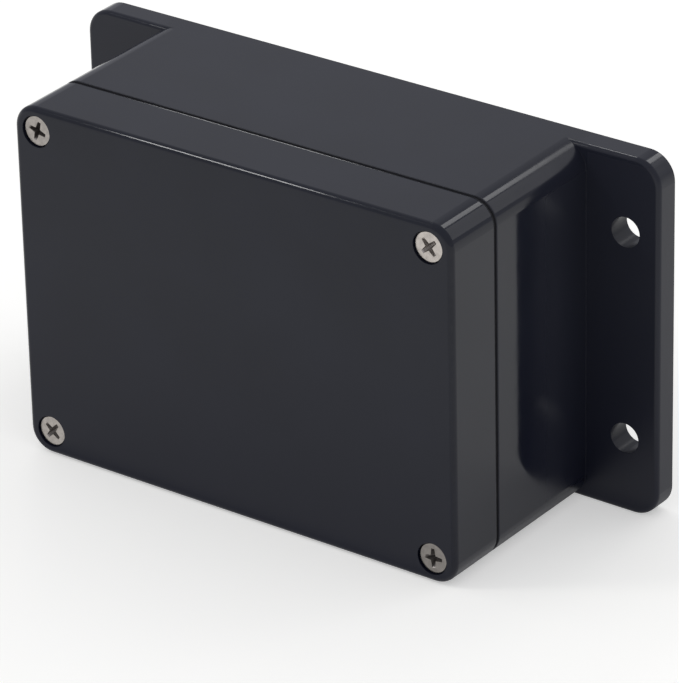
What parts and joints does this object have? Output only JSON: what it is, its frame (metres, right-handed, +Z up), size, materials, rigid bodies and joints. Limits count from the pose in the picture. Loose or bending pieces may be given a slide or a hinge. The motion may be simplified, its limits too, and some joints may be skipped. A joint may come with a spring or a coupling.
{
  "type": "plastic project box",
  "caption": "Black moulded wall-mount enclosure with a deep screwed lid, a sealed joint and drilled mounting ears, for circuit boards and wiring.",
  "frame": {"origin": "centre of the flat back face that goes against the wall", "axes": "+Y out of the back, -Y to the front of the lid, +X along the width with the ears, +Z up"},
  "size_m": [0.162, 0.0585, 0.09],
  "materials": {
    "housing": "black moulded ABS, satin front face and glossier side walls",
    "seal": "soft matt grey-black sealing cord",
    "screw": "satin stainless steel, slightly warm",
    "insert": "turned brass"
  },
  "bodies": {
    "base": {"base": "housing", "threaded_insert_top_left": "insert", "threaded_insert_top_right": "insert", "threaded_insert_bottom_left": "insert", "threaded_insert_bottom_right": "insert"},
    "lid": {"lid": "housing", "gasket": "seal"},
    "screw_top_left": {"lid_screw_top_left": "screw"},
    "screw_top_right": {"lid_screw_top_right": "screw"},
    "screw_bottom_left": {"lid_screw_bottom_left": "screw"},
    "screw_bottom_right": {"lid_screw_bottom_right": "screw"}
  },
  "joints": [
    {"name": "lid_off", "type": "slide", "parent": "base", "child": "lid", "axis": [0, -1, 0], "range_m": [0, 0.06]},
    {"name": "screw_out_top_left", "type": "slide", "parent": "lid", "child": "screw_top_left", "axis": [0, -1, 0], "range_m": [0, 0.028]},
    {"name": "screw_out_top_right", "type": "slide", "parent": "lid", "child": "screw_top_right", "axis": [0, -1, 0], "range_m": [0, 0.028]},
    {"name": "screw_out_bottom_left", "type": "slide", "parent": "lid", "child": "screw_bottom_left", "axis": [0, -1, 0], "range_m": [0, 0.028]},
    {"name": "screw_out_bottom_right", "type": "slide", "parent": "lid", "child": "screw_bottom_right", "axis": [0, -1, 0], "range_m": [0, 0.028]}
  ]
}
